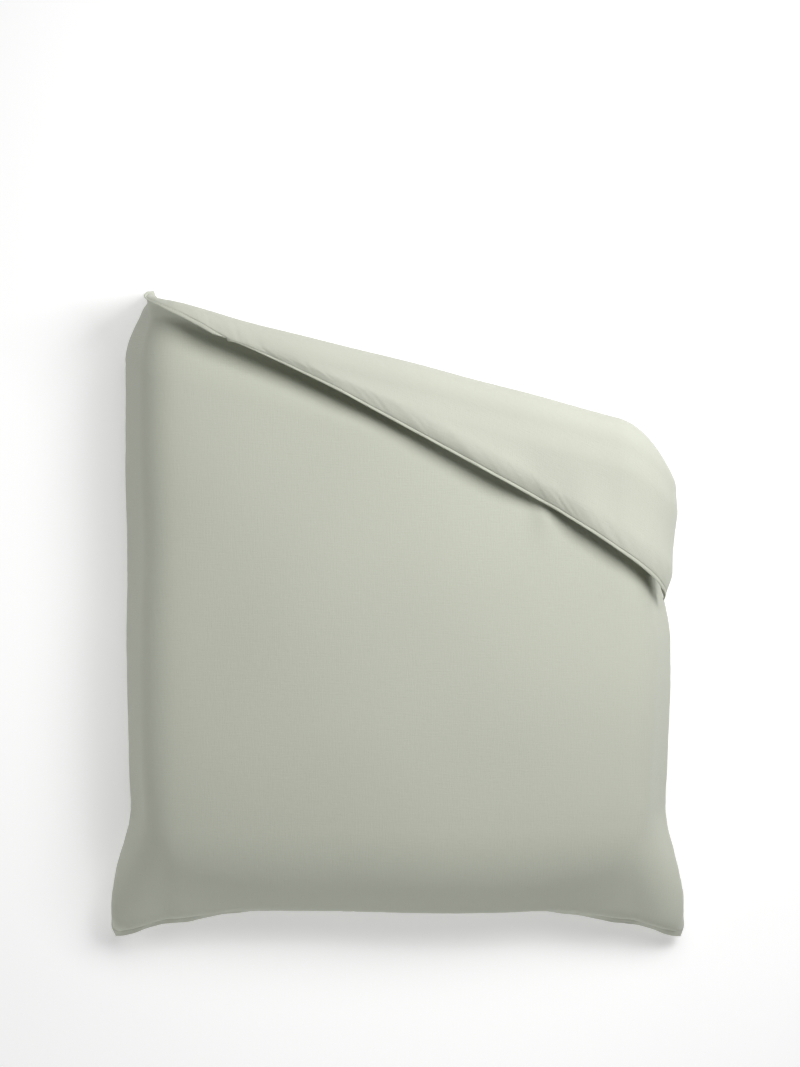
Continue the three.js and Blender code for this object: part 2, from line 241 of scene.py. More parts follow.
def curl(u, v):
    """How far a free edge bends away from the middle surface: in under the weight of its seam, up at
    the turned-back hem, and down again on the sewn strip along it."""
    end = edge_curl * (1 - np.clip(np.minimum(v, length - v) / curl_length, 0, 1)) ** 2
    side = edge_curl * (1 - np.clip((half_width - np.abs(u)) / curl_length, 0, 1)) ** 2
    over = smooth(0, roll_length, past_crease(u, v))
    strip = strip_turn * (1 - np.clip(v / strip_length, 0, 1)) ** 2
    return side * (2 * over - 1) - end * (1 - 0.3 * over) + strip * over


def lie(u, v, by):
    u, v, by = np.broadcast_arrays(u, v, by)
    return middle(u, v) + normal(u, v) * (by + edge_ripple(u, v) + curl(u, v))[..., None]


def swell(across, down):
    """The slow rise and fall of the filling under the cover."""
    total = 0
    waves = [(0.9, 0.5, 0.2, 0.0030), (-0.6, 1.1, 1.9, 0.0028), (1.7, -0.9, 4.1, 0.0016),
             (0.4, 2.1, 2.7, 0.0014), (2.6, 1.3, 5.2, 0.0008)]
    for a, b, turn, size in waves:
        total = total + size * np.sin(2 * math.pi * (a * across + b * down) + turn)
    ridge = np.exp(-(((across - 0.435) / 0.035) ** 2) - ((down - 0.66) / 0.09) ** 2)
    return total + 0.014 * ridge


def cover_half(u, v, side):
    past = past_crease(u, v)
    over_main = crown(u, v) * smooth(0, 0.16, -past)
    over_flap = flap_crown * smooth(roll_length, roll_length + 0.08, past)
    extra = over_main if side > 0 else over_flap
    return filled_half(u, v) + (extra + swell(u, v)) * fullness(u, v, seam_width, foot_hem)


insert_inset = 0.028
pucker_room = 0.004
insert_foot_inset = 0.046
channels = 8
channel_width = 0.245
quilt_round = 0.050


def quilted(u):
    place = np.clip(np.abs(u), 0, (channels / 2 - 1) * channel_width)
    from_line = np.abs(place - channel_width * np.round(place / channel_width))
    from_line = np.where(np.abs(u) > place + quilt_round, quilt_round, from_line)
    return 0.35 + 0.65 * np.sqrt(1 - (1 - np.clip(from_line / quilt_round, 0, 1)) ** 2)


def insert_half(u, v, side):
    room = cover_half(u, v, side) - 2.5 * cloth - pucker_room
    full = fullness(u, v, insert_inset, insert_foot_inset)
    return seam_half + np.maximum(0, room - seam_half) * full * quilted(u)


def slab(name, columns, rows, top, bottom, material):
    """A closed piece between two heights over the duvet's middle surface."""
    u, v = np.meshgrid(columns, rows, indexing="ij")
    top_by = top(u, v) if callable(top) else top
    bottom_by = bottom(u, v) if callable(bottom) else bottom
    return slab_between(name, u, v, lie(u, v, top_by), lie(u, v, bottom_by), material)


def slab_between(name, u, v, top_points, bottom_points, material):
    ni, nj = u.shape
    points = np.concatenate([top_points.reshape(-1, 3), bottom_points.reshape(-1, 3)])
    at = np.arange(ni * nj).reshape(ni, nj)
    below = at + ni * nj
    over = [at[:-1, :-1], at[:-1, 1:], at[1:, 1:], at[1:, :-1]]
    under = [below[:-1, :-1], below[1:, :-1], below[1:, 1:], below[:-1, 1:]]
    faces = [np.stack([c.ravel() for c in quad], 1) for quad in (over, under)]
    for a, b, near in (
        (at[0], below[0], True),
        (at[-1], below[-1], False),
        (at[:, 0], below[:, 0], False),
        (at[:, -1], below[:, -1], True),
    ):
        wall = [a[:-1], b[:-1], b[1:], a[1:]] if near else [a[:-1], a[1:], b[1:], b[:-1]]
        faces.append(np.stack(wall, 1))
    faces = np.concatenate(faces)
    mesh = bpy.data.meshes.new(name)
    mesh.vertices.add(len(points))
    mesh.vertices.foreach_set("co", points.ravel())
    mesh.loops.add(faces.size)
    mesh.loops.foreach_set("vertex_index", faces.ravel())
    mesh.polygons.add(len(faces))
    mesh.polygons.foreach_set("loop_start", np.arange(0, faces.size, 4))
    flat = np.stack([u.ravel() + half_width, length - v.ravel()], 1)
    flat = np.concatenate([flat, flat])
    mesh.uv_layers.new(name="cloth").data.foreach_set("uv", flat[faces.ravel()].ravel())
    mesh.update(calc_edges=True)
    mesh.validate()
    mesh.shade_smooth()
    mesh.materials.append(material)
    piece = bpy.data.objects.new(name, mesh)
    bpy.context.scene.collection.objects.link(piece)
    return piece


def fibre_material():
    material = bpy.data.materials.new("hollow_fibre")
    material.use_nodes = True
    nodes = material.node_tree.nodes
    links = material.node_tree.links
    shader = nodes["Principled BSDF"]
    shader.inputs["Roughness"].default_value = 0.95
    shader.inputs["Subsurface Weight"].default_value = 0.15
    place = nodes.new("ShaderNodeTexCoord")
    tufts = nodes.new("ShaderNodeTexNoise")
    tufts.inputs["Scale"].default_value = 60
    tufts.inputs["Detail"].default_value = 6
    links.new(place.outputs["Object"], tufts.inputs["Vector"])
    tint = nodes.new("ShaderNodeValToRGB")
    tint.color_ramp.elements[0].color = (0.80, 0.80, 0.78, 1)
    tint.color_ramp.elements[1].color = (0.95, 0.95, 0.94, 1)
    links.new(tufts.outputs["Fac"], tint.inputs["Fac"])
    links.new(tint.outputs["Color"], shader.inputs["Base Color"])
    bump = nodes.new("ShaderNodeBump")
    bump.inputs["Strength"].default_value = 0.8
    bump.inputs["Distance"].default_value = 0.004
    links.new(tufts.outputs["Fac"], bump.inputs["Height"])
    links.new(bump.outputs["Normal"], shader.inputs["Normal"])
    return material


hollow_fibre = fibre_material()
fill_inset = 0.024
fill_edge = half_width - insert_inset - fill_inset
fill_rows = np.linspace(insert_inset + fill_inset, length - insert_foot_inset - fill_inset, 150)
quilt_gap = 0.010
for channel in range(1, channels + 1):
    centre = channel_width * (channel - (channels + 1) / 2)
    low = max(centre - channel_width / 2 + quilt_gap / 2, -fill_edge)
    high = min(centre + channel_width / 2 - quilt_gap / 2, fill_edge)

    def fill_height(u, v, side, low=low, high=high):
        room = insert_half(u, v, side) - cloth - 0.0015
        edge = np.minimum(u - low, high - u)
        closing = np.sqrt(1 - (1 - np.clip(edge / quilt_round, 0, 1)) ** 2)
        return side * np.maximum(0.0004, room * (0.3 + 0.7 * closing))

    filling = slab(
        f"filling_{channel}",
        np.linspace(low, high, 22),
        fill_rows,
        lambda u, v: fill_height(u, v, 1),
        lambda u, v: fill_height(u, v, -1),
        hollow_fibre,
    )
    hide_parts(f"filling_channel_{channel}")
    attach(filling, "root")

# The insert's case: two sheets of close white ticking, stitched through the filling along the
# channels and closed round the edge with a narrow folded binding of the same cotton.
def woven_material(name, colour, sheen, thread, slub_size, slub_depth, unevenness):
    """Plain-woven cloth whose threads follow the cloth's own flat coordinates, in metres."""
    material = bpy.data.materials.new(name)
    material.use_nodes = True
    nodes = material.node_tree.nodes
    links = material.node_tree.links
    shader = nodes["Principled BSDF"]
    shader.inputs["Roughness"].default_value = 0.92
    shader.inputs["Specular IOR Level"].default_value = 0.15
    shader.inputs["Sheen Weight"].default_value = sheen
    shader.inputs["Sheen Roughness"].default_value = 0.6
    flat = nodes.new("ShaderNodeUVMap")
    flat.uv_map = "cloth"

    def stretched_noise(across, along, detail, distortion=0.0):
        place = nodes.new("ShaderNodeMapping")
        place.inputs["Scale"].default_value = (1 / across, 1 / along, 1)
        links.new(flat.outputs["UV"], place.inputs["Vector"])
        noise = nodes.new("ShaderNodeTexNoise")
        noise.inputs["Scale"].default_value = 1
        noise.inputs["Detail"].default_value = detail
        noise.inputs["Roughness"].default_value = 0.6
        noise.inputs["Distortion"].default_value = distortion
        links.new(place.outputs["Vector"], noise.inputs["Vector"])
        return noise.outputs["Fac"]

    def maths(operation, a, b):
        node = nodes.new("ShaderNodeMath")
        node.operation = operation
        for socket, value in zip(node.inputs, (a, b)):
            if isinstance(value, (int, float)):
                socket.default_value = value
            else:
                links.new(value, socket)
        return node.outputs["Value"]

    weft = stretched_noise(slub_size * 9, slub_size, 3)
    warp = stretched_noise(slub_size, slub_size * 9, 3)
    slubs = maths("ADD", weft, warp)
    nap = stretched_noise(slub_size * 1.5, slub_size * 1.5, 5, 0.4)
    clouds = stretched_noise(0.22, 0.22, 2)
    threads = []
    for direction in ("X", "Y"):
        wave = nodes.new("ShaderNodeTexWave")
        wave.wave_type = "BANDS"
        wave.bands_direction = direction
        wave.wave_profile = "SIN"
        wave.inputs["Scale"].default_value = 1 / thread / 20 * math.pi
        wave.inputs["Distortion"].default_value = 0.6
        wave.inputs["Detail"].default_value = 1
        links.new(flat.outputs["UV"], wave.inputs["Vector"])
        threads.append(wave.outputs["Fac"])
    weave = maths("MULTIPLY", threads[0], threads[1])

    shade = maths("MULTIPLY", maths("SUBTRACT", slubs, 1.0), slub_depth)
    shade = maths("ADD", shade, maths("MULTIPLY", maths("SUBTRACT", nap, 0.5), slub_depth))
    shade = maths("ADD", shade, maths("MULTIPLY", maths("SUBTRACT", clouds, 0.5), unevenness))
    shade = maths("ADD", shade, maths("MULTIPLY", maths("SUBTRACT", weave, 0.25), 0.03))
    tone = maths("ADD", shade, 0.5)
    tint = nodes.new("ShaderNodeValToRGB")
    dark = [c * 0.80 for c in colour]
    light = [min(1, c * 1.20) for c in colour]
    tint.color_ramp.elements[0].color = (*dark, 1)
    tint.color_ramp.elements[1].color = (*light, 1)
    links.new(tone, tint.inputs["Fac"])
    links.new(tint.outputs["Color"], shader.inputs["Base Color"])
    roughness = nodes.new("ShaderNodeMapRange")
    roughness.inputs["To Min"].default_value = 0.86
    roughness.inputs["To Max"].default_value = 0.98
    links.new(nap, roughness.inputs["Value"])
    links.new(roughness.outputs["Result"], shader.inputs["Roughness"])

    coarse = nodes.new("ShaderNodeBump")
    coarse.inputs["Strength"].default_value = 0.5
    coarse.inputs["Distance"].default_value = 0.0012
    links.new(slubs, coarse.inputs["Height"])
    fine = nodes.new("ShaderNodeBump")
    fine.inputs["Strength"].default_value = 0.35
    fine.inputs["Distance"].default_value = 0.0002
    links.new(weave, fine.inputs["Height"])
    links.new(coarse.outputs["Normal"], fine.inputs["Normal"])
    links.new(fine.outputs["Normal"], shader.inputs["Normal"])
    return material


white_ticking = woven_material(
    "white_ticking",
    colour=(0.83, 0.82, 0.79),
    sheen=0.1,
    thread=0.0004,
    slub_size=0.003,
    slub_depth=0.04,
    unevenness=0.03,
)
shell_columns = np.linspace(-half_width + insert_inset, half_width - insert_inset, 201)
shell_rows = np.linspace(insert_inset, length - insert_foot_inset, 170)
for node, side in (("insert_top_shell", 1), ("insert_bottom_shell", -1)):
    outer = lambda u, v: side * insert_half(u, v, side)
    inner = lambda u, v: side * (insert_half(u, v, side) - cloth)
    pair = (outer, inner) if side > 0 else (inner, outer)
    shell = slab(node + "_ticking", shell_columns, shell_rows, *pair, white_ticking)
    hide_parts(node)
    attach(shell, "root")

binding_width = 0.006
binding_half = 0.0009
around = np.linspace(-half_width + insert_inset, half_width - insert_inset, 401)
down_side = np.linspace(insert_inset, length - insert_foot_inset, 401)
foot_edge = length - insert_foot_inset
bindings = {
    "head": (around, np.linspace(insert_inset - binding_width, insert_inset, 5)),
    "foot": (around, np.linspace(foot_edge, foot_edge + binding_width, 5)),
    "left": (
        np.linspace(-half_width + insert_inset - binding_width, -half_width + insert_inset, 5),
        down_side,
    ),
    "right": (
        np.linspace(half_width - insert_inset, half_width - insert_inset + binding_width, 5),
        down_side,
    ),
}
for side_name, (columns, rows) in bindings.items():
    binding = slab(f"binding_{side_name}", columns, rows, binding_half, -binding_half, white_ticking)
    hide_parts(f"insert_{side_name}_binding")
    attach(binding, "root")

# The cover: two panels of sage green brushed cotton, sewn together at the head and the sides. The
# back panel shows where the head edge is turned over, and the face panel everywhere else.
sage_cotton = woven_material(
    "sage_cotton",
    colour=(0.545, 0.565, 0.475),
    sheen=0.2,
    thread=0.0006,
    slub_size=0.0045,
    slub_depth=0.10,
    unevenness=0.05,
)
# The back panel is the same sage cotton painted about five per cent lighter. This is painted light: it stands
# in for the turned-back part catching more of the key light.
sage_painted_lighter = woven_material(
    "sage_cotton_painted_lighter",
    colour=(0.575, 0.592, 0.505),
    sheen=0.2,
    thread=0.0006,
    slub_size=0.0045,
    slub_depth=0.10,
    unevenness=0.05,
)


def puckers(u, v, seed):
    """Short soft grooves that run in from the seams, where the cloth is gathered by its stitches."""
    random = np.random.default_rng(seed)
    total = np.zeros(u.shape)
    edges = (
        (u, v - seam_width, -half_width, half_width, 90, (-2.0, -0.6)),
        (v, half_width - seam_width - u, 0, length, 60, (-1.2, 1.2)),
        (v, half_width - seam_width + u, 0, length, 60, (-1.2, 1.2)),
        (u, length - foot_hem - v, -half_width, half_width, 60, (-1.2, 1.2)),
    )
    for along, inwards, low, high, count, slants in edges:
        band = inwards < 0.22
        s, d = along[band], inwards[band]
        sum_here = np.zeros(s.shape)
        for _ in range(count):
            at = random.uniform(low, high)
            slant = random.uniform(*slants)
            reach = random.uniform(0.02, 0.05)
            width = random.uniform(0.004, 0.009)
            depth = random.uniform(0.0004, 0.0016)
            x = (s - at - slant * d) / (width + 0.10 * d)
            groove = (1 - 1.2 * x * x) * np.exp(-x * x)
            sum_here -= depth * groove * np.exp(-((d / reach) ** 2)) * smooth(-0.002, 0.012, d)
        total[band] += sum_here
    return total


def panel_height(u, v, side):
    return side * (cover_half(u, v, side) + puckers(u, v, seed=5 if side > 0 else 9))


def graded(stops):
    """Places along a line, from (start, spacing) pairs and the end."""
    places = []
    for (start, step), (end, _) in zip(stops, stops[1:]):
        places.extend(np.arange(start, end - step * 0.4, step))
    places.append(stops[-1][0])
    return np.array(places)


edge_in = half_width - seam_width
foot_in = length - foot_hem
face_columns = graded([(-edge_in, 0.006), (-0.85, 0.0105), (0.85, 0.006), (edge_in, 0)])
face_rows = graded([(seam_width, 0.006), (0.12, 0.0115), (1.85, 0.006), (foot_in, 0)])
back_columns = graded([(-edge_in, 0.006), (edge_in, 0)])
back_rows = graded([(seam_width, 0.0045), (0.12, 0.009), (0.62, 0.03), (1.85, 0.012), (foot_in, 0)])
face_panel = slab(
    "face_panel", face_columns, face_rows,
    lambda u, v: panel_height(u, v, 1),
    lambda u, v: panel_height(u, v, 1) - cloth,
    sage_cotton,
)
back_panel = slab(
    "back_panel", back_columns, back_rows,
    lambda u, v: panel_height(u, v, -1) + cloth,
    lambda u, v: panel_height(u, v, -1),
    sage_painted_lighter,
)
for panel, node in ((face_panel, "cover_face_panel"), (back_panel, "cover_back_panel")):
    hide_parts(node)
    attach(panel, "root")

# The cover's sewn edges: the two panels are turned in and topstitched a centimetre from the fold,
# which leaves a thin firm edge with a slight ridge along it.
def edge_profile(distance):
    """Half the thickness of a sewn edge at a distance in from its fold."""
    ridge = 0.0005 * np.exp(-(((distance - 0.005) / 0.003) ** 2))
    stitched = 0.0006 * np.exp(-(((distance - 0.0105) / 0.0012) ** 2))
    nose = np.sqrt(np.clip(distance / 0.0018, 0, 1) * (2 - np.clip(distance / 0.0018, 0, 1)))
    return (seam_half + ridge - stitched) * np.maximum(nose, 0.15)


def sewn_edge(name, columns, rows, distance, node):
    top = lambda u, v: edge_profile(distance(u, v))
    bottom = lambda u, v: -edge_profile(distance(u, v))
    edge = slab(name, columns, rows, top, bottom, sage_cotton)
    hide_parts(node)
    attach(edge, "root")
    return edge


def from_side(u, v):
    return half_width - np.abs(u)


def from_head(u, v):
    return np.minimum(v, half_width - np.abs(u))


tuck = 0.0025
profile = np.array(
    [0, 0.0003, 0.0009, 0.0018, 0.003, 0.0045, 0.0065, 0.0085, 0.0098, 0.0106, 0.0115, 0.0125]
)
across_edge = np.linspace(-half_width, half_width, 501)
down_edge = np.linspace(seam_width + 0.0005, foot_in, 501)
sewn_edge("head_edge", across_edge, profile, from_head, "cover_head_seam")
sewn_edge("left_edge", -half_width + profile, down_edge, from_side, "cover_left_seam")
sewn_edge("right_edge", half_width - profile[::-1], down_edge, from_side, "cover_right_seam")
over_hem = [0.014, 0.020, 0.0255, 0.0275, 0.0285, foot_hem + tuck]
hem_rows = length - np.concatenate([profile[:-3], over_hem])[::-1]
hem_ends = np.linspace(opening_half, half_width, 141)


def hem_distance(u, v):
    return np.minimum(length - v, half_width - np.abs(u)) * np.where(length - v > 0.026, 0.4, 1)


sewn_edge("foot_edge_left", -hem_ends[::-1], hem_rows, hem_distance, "cover_foot_seam_left")
sewn_edge("foot_edge_right", hem_ends, hem_rows, hem_distance, "cover_foot_seam_right")

# Rows of machine stitches: every seam of the cover is closed with one row of sage thread, about three
# stitches to the centimetre, sewn a centimetre in from the edge and seen on both sides.
def thread_material(name, colour):
    """Twisted cotton thread: fine slanting plies across a matt colour."""
    material = bpy.data.materials.new(name)
    material.use_nodes = True
    nodes = material.node_tree.nodes
    links = material.node_tree.links
    shader = nodes["Principled BSDF"]
    shader.inputs["Roughness"].default_value = 0.7
    shader.inputs["Sheen Weight"].default_value = 0.15
    place = nodes.new("ShaderNodeTexCoord")
    plies = nodes.new("ShaderNodeTexWave")
    plies.bands_direction = "DIAGONAL"
    plies.inputs["Scale"].default_value = 900
    plies.inputs["Distortion"].default_value = 1
    links.new(place.outputs["Object"], plies.inputs["Vector"])
    tint = nodes.new("ShaderNodeValToRGB")
    tint.color_ramp.elements[0].color = (*[c * 0.86 for c in colour], 1)
    tint.color_ramp.elements[1].color = (*[c * 1.08 for c in colour], 1)
    links.new(plies.outputs["Fac"], tint.inputs["Fac"])
    links.new(tint.outputs["Color"], shader.inputs["Base Color"])
    bump = nodes.new("ShaderNodeBump")
    bump.inputs["Strength"].default_value = 0.4
    bump.inputs["Distance"].default_value = 0.0001
    links.new(plies.outputs["Fac"], bump.inputs["Height"])
    links.new(bump.outputs["Normal"], shader.inputs["Normal"])
    return material


sewing_thread = thread_material("sewing_thread", (0.50, 0.52, 0.43))
stitch_pitch = 0.0032
stitch_long = 0.0025
stitch_thick = 0.00030


def one_stitch():
    """A short thread with rounded ends that lies along X."""
    mesh = bpy.data.meshes.new("one_stitch")
    rings = [(-0.5, 0.35), (-0.38, 0.9), (0.38, 0.9), (0.5, 0.35)]
    sides = 6
    points = []
    for at, wide in rings:
        for k in range(sides):
            turn = 2 * math.pi * k / sides
            points.append(
                (at * stitch_long, wide * stitch_thick * math.cos(turn), wide * stitch_thick * math.sin(turn))
            )
    faces = []
    for ring in range(len(rings) - 1):
        for k in range(sides):
            a, b = ring * sides + k, ring * sides + (k + 1) % sides
            faces.append((a, b, b + sides, a + sides))
    faces.append(tuple(reversed(range(sides))))
    faces.append(tuple(range((len(rings) - 1) * sides, len(rings) * sides)))
    mesh.from_pydata(points, [], faces)
    mesh.shade_smooth()
    stitch = bpy.data.objects.new("one_stitch", mesh)
    return stitch


def stitch_tree():
    """Sets a stitch at an even pitch along every line of the mesh it is given."""
    tree = bpy.data.node_groups.new("row_of_stitches", "GeometryNodeTree")
    tree.interface.new_socket("Lines", in_out="INPUT", socket_type="NodeSocketGeometry")
    tree.interface.new_socket("Pitch", in_out="INPUT", socket_type="NodeSocketFloat")
    tree.interface.new_socket("Stitch", in_out="INPUT", socket_type="NodeSocketObject")
    tree.interface.new_socket("Thread", in_out="INPUT", socket_type="NodeSocketMaterial")
    tree.interface.new_socket("Seed", in_out="INPUT", socket_type="NodeSocketInt")
    tree.interface.new_socket("Stitches", in_out="OUTPUT", socket_type="NodeSocketGeometry")
    new = tree.nodes.new
    given, made = new("NodeGroupInput"), new("NodeGroupOutput")
    to_curve, even = new("GeometryNodeMeshToCurve"), new("GeometryNodeResampleCurve")
    even.mode = "LENGTH"
    place = new("GeometryNodeInstanceOnPoints")
    along, align = new("GeometryNodeInputTangent"), new("FunctionNodeAlignRotationToVector")
    align.axis = "X"
    info = new("GeometryNodeObjectInfo")
    info.inputs["As Instance"].default_value = True
    uneven = new("FunctionNodeRandomValue")
    uneven.data_type = "FLOAT"
    real, dye = new("GeometryNodeRealizeInstances"), new("GeometryNodeSetMaterial")
    link = tree.links.new
    link(given.outputs["Lines"], to_curve.inputs["Mesh"])
    link(to_curve.outputs["Curve"], even.inputs["Curve"])
    link(given.outputs["Pitch"], even.inputs["Length"])
    link(even.outputs["Curve"], place.inputs["Points"])
    link(given.outputs["Stitch"], info.inputs["Object"])
    link(info.outputs["Geometry"], place.inputs["Instance"])
    link(along.outputs["Tangent"], align.inputs["Vector"])
    link(align.outputs["Rotation"], place.inputs["Rotation"])
    low = [socket for socket in uneven.inputs if socket.name == "Min" and socket.type == "VALUE"][0]
    high = [socket for socket in uneven.inputs if socket.name == "Max" and socket.type == "VALUE"][0]
    low.default_value, high.default_value = 0.86, 1.05
    link(given.outputs["Seed"], uneven.inputs["Seed"])
    size = [socket for socket in uneven.outputs if socket.type == "VALUE"][0]
    link(size, place.inputs["Scale"])
    link(place.outputs["Instances"], real.inputs["Geometry"])
    link(real.outputs["Geometry"], dye.inputs["Geometry"])
    link(given.outputs["Thread"], dye.inputs["Material"])
    link(dye.outputs["Geometry"], made.inputs["Stitches"])
    return tree


single_stitch = one_stitch()
row_of_stitches = stitch_tree()


def sew(name, lines, thread, pitch, seed):
    """Rows of stitches along lines of points, as one plain mesh."""
    points = np.concatenate(lines)
    edges, start = [], 0
    for line in lines:
        edges.extend((start + k, start + k + 1) for k in range(len(line) - 1))
        start += len(line)
    path = bpy.data.meshes.new(name + "_path")
    path.from_pydata(points.tolist(), edges, [])
    carrier = bpy.data.objects.new(name + "_path", path)
    bpy.context.scene.collection.objects.link(carrier)
    modifier = carrier.modifiers.new("stitches", "NODES")
    modifier.node_group = row_of_stitches
    sockets = {item.name: item.identifier for item in row_of_stitches.interface.items_tree}
    modifier[sockets["Pitch"]] = pitch
    modifier[sockets["Stitch"]] = single_stitch
    modifier[sockets["Thread"]] = thread
    modifier[sockets["Seed"]] = seed
    shape = carrier.evaluated_get(bpy.context.evaluated_depsgraph_get())
    mesh = bpy.data.meshes.new_from_object(shape)
    mesh.name = name
    bpy.data.objects.remove(carrier)
    mesh.materials.clear()
    mesh.materials.append(thread)
    row = bpy.data.objects.new(name, mesh)
    bpy.context.scene.collection.objects.link(row)
    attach(row, "root")
    return row


def both_sides(u, v, by):
    return [lie(u, v, by), lie(u, v, -by)]


stitch_in = 0.0105
on_edge = float(edge_profile(np.array(stitch_in))) + 0.00010
run = np.linspace(-half_width + stitch_in, half_width - stitch_in, 900)
drop = np.linspace(stitch_in, length - stitch_in, 900)
hem_run = np.linspace(opening_half + 0.004, half_width - stitch_in, 200)
hem_stitch_in = 0.026
rows_to_sew = {
    "head_stitching": both_sides(run, stitch_in, on_edge),
    "left_stitching": both_sides(-half_width + stitch_in, drop, on_edge),
    "right_stitching": both_sides(half_width - stitch_in, drop, on_edge),
    "foot_stitching": both_sides(hem_run, length - hem_stitch_in, on_edge)
    + both_sides(-hem_run, length - hem_stitch_in, on_edge),
}
for seed, (name, lines) in enumerate(rows_to_sew.items()):
    sew(name, lines, sewing_thread, stitch_pitch, seed)

# The foot opening: each panel ends in a hemmed band. The band on the face side has the buttonholes,
# the band behind it is the plain stand, and seven buttons close them.
button_count = 7
button_pitch = 0.160
band_thick = 0.0014
band_gap = 0.00015
buttonhole_long = 0.020
buttonhole_wide = 0.0016
hem_middle = length - foot_hem / 2
button_places = [(k - (button_count - 1) / 2) * button_pitch for k in range(button_count)]


def drop_unused_points(mesh):
    """Drops points that no face uses."""
    shape = bmesh.new()
    shape.from_mesh(mesh)
    loose = [vert for vert in shape.verts if not vert.link_faces]
    bmesh.ops.delete(shape, geom=loose, context="VERTS")
    shape.to_mesh(mesh)
    shape.free()


def pierced_slab(name, columns, rows, top, bottom, cut, material):
    """A closed strip with a hole through it wherever cut(u, v) is true for a cell's middle."""
    u, v = np.meshgrid(columns, rows, indexing="ij")
    ni, nj = u.shape
    points = np.concatenate([lie(u, v, top).reshape(-1, 3), lie(u, v, bottom).reshape(-1, 3)])
    at = np.arange(ni * nj).reshape(ni, nj)
    under = at + ni * nj
    middle_u = (u[:-1, :-1] + u[1:, 1:]) / 2
    middle_v = (v[:-1, :-1] + v[1:, 1:]) / 2
    kept = np.pad(~cut(middle_u, middle_v), 1)
    faces = []
    for i in range(ni - 1):
        for j in range(nj - 1):
            if not kept[i + 1, j + 1]:
                continue
            a, b, c, d = (i, j), (i, j + 1), (i + 1, j + 1), (i + 1, j)
            faces.append([at[a], at[b], at[c], at[d]])
            faces.append([under[a], under[d], under[c], under[b]])
            for p, q, free in (
                (b, a, not kept[i, j + 1]),
                (d, c, not kept[i + 2, j + 1]),
                (a, d, not kept[i + 1, j]),
                (c, b, not kept[i + 1, j + 2]),
            ):
                if free:
                    faces.append([at[p], at[q], under[q], under[p]])
    mesh = bpy.data.meshes.new(name)
    mesh.from_pydata(points.tolist(), [], [[int(k) for k in face] for face in faces])
    weave = mesh.uv_layers.new(name="cloth")
    flat = np.stack([u.ravel() + half_width, length - v.ravel()], 1)
    flat = np.concatenate([flat, flat])
    corners = np.zeros(len(mesh.loops), dtype=np.int32)
    mesh.loops.foreach_get("vertex_index", corners)
    weave.data.foreach_set("uv", flat[corners].ravel())
    drop_unused_points(mesh)
    mesh.materials.append(material)
    strip = bpy.data.objects.new(name, mesh)
    bpy.context.scene.collection.objects.link(strip)
    return strip


def buttonhole(u, v):
    near = np.zeros(u.shape, dtype=bool)
    for place in button_places:
        near |= (np.abs(u - place) < buttonhole_long / 2) & (np.abs(v - hem_middle) < buttonhole_wide / 2)
    return near


plain = list(np.linspace(-opening_half + 0.0003, opening_half - 0.0003, 161))
ends = [place + side * buttonhole_long / 2 for place in button_places for side in (-1, 1)]
band_columns = sorted([u for u in plain if min(abs(u - end) for end in ends) > 0.0015] + ends)
half_slit = buttonhole_wide / 2
band_rows = [foot_in + 0.0003, foot_in + 0.0016, foot_in + 0.004, hem_middle - 0.005, hem_middle - half_slit,
             hem_middle + half_slit, hem_middle + 0.005, length - 0.004, length - 0.0014, length]
band_columns, band_rows = np.array(band_columns), np.array(band_rows)
stand = pierced_slab("stand_band", band_columns, band_rows, band_gap + band_thick, band_gap,
                     lambda u, v: np.zeros(u.shape, dtype=bool), sage_cotton)
holes = pierced_slab("buttonhole_strip", band_columns, band_rows, -band_gap, -band_gap - band_thick,
                     buttonhole, sage_cotton)
for piece, node in ((stand, "button_stand"), (holes, "buttonhole_band")):
    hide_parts(node)
    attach(piece, "root")

band_stitches, hole_stitches = [], []
band_run = np.linspace(-opening_half + 0.003, opening_half - 0.003, 400)
band_face = band_gap + band_thick + 0.0001
for at_row in (foot_in + 0.003, length - 0.003):
    band_stitches += both_sides(band_run, at_row, band_face)
for place in button_places:
    for side in (-1, 1):
        at_row = hem_middle + side * (half_slit + 0.0007)
        hole_run = np.linspace(place - buttonhole_long / 2, place + buttonhole_long / 2, 12)
        hole_stitches.append(lie(hole_run, at_row, -band_face))
        bar = np.linspace(hem_middle - 0.0022, hem_middle + 0.0022, 6)
        hole_stitches.append(lie(place + side * (buttonhole_long / 2 + 0.0008), bar, -band_face))
sew("band_stitching", band_stitches, sewing_thread, stitch_pitch, seed=11)
sew("buttonhole_stitching", hole_stitches, sewing_thread, pitch=0.0011, seed=12)

# The buttons: pale sage resin, 18 mm across, turned with a raised rim and four holes. Each is sewn to
# the stand with thread that is wound into a short shank through the buttonhole.
button_radius = 0.009
button_thick = 0.0032
hole_radius = 0.00095
hole_spread = 0.0018
shank = 0.0012
button_back = band_gap + band_thick + shank
def resin_material():
    """Cast resin with a faint cloudy grain and a satin polish."""
    material = bpy.data.materials.new("button_resin")
    material.use_nodes = True
    nodes = material.node_tree.nodes
    links = material.node_tree.links
    shader = nodes["Principled BSDF"]
    shader.inputs["Coat Weight"].default_value = 0.2
    place = nodes.new("ShaderNodeTexCoord")
    cloud = nodes.new("ShaderNodeTexNoise")
    cloud.inputs["Scale"].default_value = 260
    cloud.inputs["Detail"].default_value = 4
    links.new(place.outputs["Object"], cloud.inputs["Vector"])
    tint = nodes.new("ShaderNodeValToRGB")
    tint.color_ramp.elements[0].color = (0.60, 0.63, 0.52, 1)
    tint.color_ramp.elements[1].color = (0.72, 0.74, 0.65, 1)
    links.new(cloud.outputs["Fac"], tint.inputs["Fac"])
    links.new(tint.outputs["Color"], shader.inputs["Base Color"])
    polish = nodes.new("ShaderNodeMapRange")
    polish.inputs["To Min"].default_value = 0.28
    polish.inputs["To Max"].default_value = 0.42
    links.new(cloud.outputs["Fac"], polish.inputs["Value"])
    links.new(polish.outputs["Result"], shader.inputs["Roughness"])
    return material


button_resin = resin_material()


